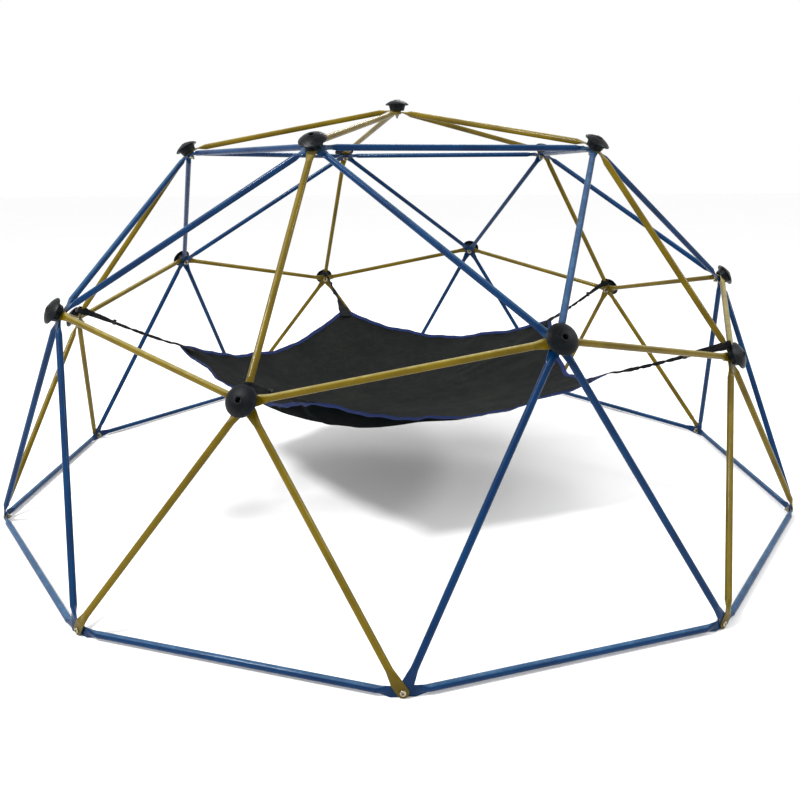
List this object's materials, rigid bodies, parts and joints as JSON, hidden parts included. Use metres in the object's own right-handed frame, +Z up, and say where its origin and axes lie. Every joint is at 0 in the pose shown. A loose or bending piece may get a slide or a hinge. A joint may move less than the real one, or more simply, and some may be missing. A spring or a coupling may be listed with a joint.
{
  "type": "dome climber",
  "caption": "Geodesic dome climbing frame of bolted steel tubes with plastic hub caps and a five-cornered cloth hammock hung inside on straps.",
  "frame": {"origin": "on the ground under the middle of the dome", "axes": "+Z up; a base node points to -Y and the crown leg of the first five-way hub is on the same side at azimuth -108 degrees"},
  "size_m": [2.9358, 3.0676, 1.5104],
  "materials": {
    "blue_paint": "glossy blue powder coat",
    "yellow_paint": "glossy mustard yellow powder coat",
    "cap_plastic": "satin black moulded plastic",
    "buckle_plastic": "satin black moulded plastic",
    "strap_webbing": "black woven webbing",
    "hammock_cloth": "charcoal woven cloth",
    "hammock_binding": "dark blue woven tape",
    "zinc_steel": "zinc plated"
  },
  "bodies": {
    "frame": {"apex_spoke_1": "yellow_paint", "apex_spoke_2": "yellow_paint", "apex_spoke_3": "yellow_paint", "apex_spoke_4": "yellow_paint", "apex_spoke_5": "yellow_paint", "base_bolts": "zinc_steel", "base_brace_pair_1": "blue_paint", "base_brace_pair_2": "blue_paint", "base_brace_pair_3": "blue_paint", "base_brace_pair_4": "blue_paint", "base_brace_pair_5": "blue_paint", "base_leg_pair_1": "yellow_paint", "base_leg_pair_2": "yellow_paint", "base_leg_pair_3": "yellow_paint", "base_leg_pair_4": "yellow_paint", "base_leg_pair_5": "yellow_paint", "base_nuts": "zinc_steel", "base_rail_pair_1": "blue_paint", "base_rail_pair_2": "blue_paint", "base_rail_pair_3": "blue_paint", "base_rail_pair_4": "blue_paint", "base_rail_pair_5": "blue_paint", "base_washers": "zinc_steel", "crown_brace_pair_1": "blue_paint", "crown_brace_pair_2": "blue_paint", "crown_brace_pair_3": "blue_paint", "crown_brace_pair_4": "blue_paint", "crown_brace_pair_5": "blue_paint", "crown_leg_1": "yellow_paint", "crown_leg_2": "yellow_paint", "crown_leg_3": "yellow_paint", "crown_leg_4": "yellow_paint", "crown_leg_5": "yellow_paint", "crown_rail_1": "blue_paint", "crown_rail_2": "blue_paint", "crown_rail_3": "blue_paint", "crown_rail_4": "blue_paint", "crown_rail_5": "blue_paint", "hub_bolts": "zinc_steel", "hub_caps": "cap_plastic", "hub_nuts": "zinc_steel", "hub_washers": "zinc_steel", "strap_loops": "strap_webbing", "waist_rail_pair_1": "yellow_paint", "waist_rail_pair_2": "yellow_paint", "waist_rail_pair_3": "yellow_paint", "waist_rail_pair_4": "yellow_paint", "waist_rail_pair_5": "yellow_paint"},
    "hammock": {"hammock_cloth": "hammock_cloth", "hammock_binding": "hammock_binding"},
    "strap_1": {"hammock_strap_1": "strap_webbing", "strap_buckle_1": "buckle_plastic"},
    "strap_2": {"hammock_strap_2": "strap_webbing", "strap_buckle_2": "buckle_plastic"},
    "strap_3": {"hammock_strap_3": "strap_webbing", "strap_buckle_3": "buckle_plastic"},
    "strap_4": {"hammock_strap_4": "strap_webbing", "strap_buckle_4": "buckle_plastic"},
    "strap_5": {"hammock_strap_5": "strap_webbing", "strap_buckle_5": "buckle_plastic"}
  },
  "joints": [
    {"name": "hammock_dip", "type": "slide", "parent": "frame", "child": "hammock", "axis": [0, 0, -1], "range_m": [0, 0.04], "stiffness_N_per_m": 2000, "springref_m": -0.02},
    {"name": "strap_swing_1", "type": "hinge", "parent": "frame", "child": "strap_1", "pos_m": [-0.37175, -1.14413, 0.67969], "axis": [-0.9511, 0.309, 0], "range_deg": [0, 8]},
    {"name": "strap_swing_2", "type": "hinge", "parent": "frame", "child": "strap_2", "pos_m": [0.97325, -0.70711, 0.67969], "axis": [-0.5878, -0.809, 0], "range_deg": [0, 8]},
    {"name": "strap_swing_3", "type": "hinge", "parent": "frame", "child": "strap_3", "pos_m": [0.97325, 0.70711, 0.67969], "axis": [0.5878, -0.809, 0], "range_deg": [0, 8]},
    {"name": "strap_swing_4", "type": "hinge", "parent": "frame", "child": "strap_4", "pos_m": [-0.37175, 1.14413, 0.67969], "axis": [0.9511, 0.309, 0], "range_deg": [0, 8]},
    {"name": "strap_swing_5", "type": "hinge", "parent": "frame", "child": "strap_5", "pos_m": [-1.20301, 0, 0.67969], "axis": [0, 1, 0], "range_deg": [0, 8]}
  ],
  "couplings": [
    {"joint": "strap_swing_1", "follows": "hammock_dip", "rad_per_m": 3.3615},
    {"joint": "strap_swing_2", "follows": "hammock_dip", "rad_per_m": 3.3615},
    {"joint": "strap_swing_3", "follows": "hammock_dip", "rad_per_m": 3.3615},
    {"joint": "strap_swing_4", "follows": "hammock_dip", "rad_per_m": 3.3615},
    {"joint": "strap_swing_5", "follows": "hammock_dip", "rad_per_m": 3.3615}
  ]
}
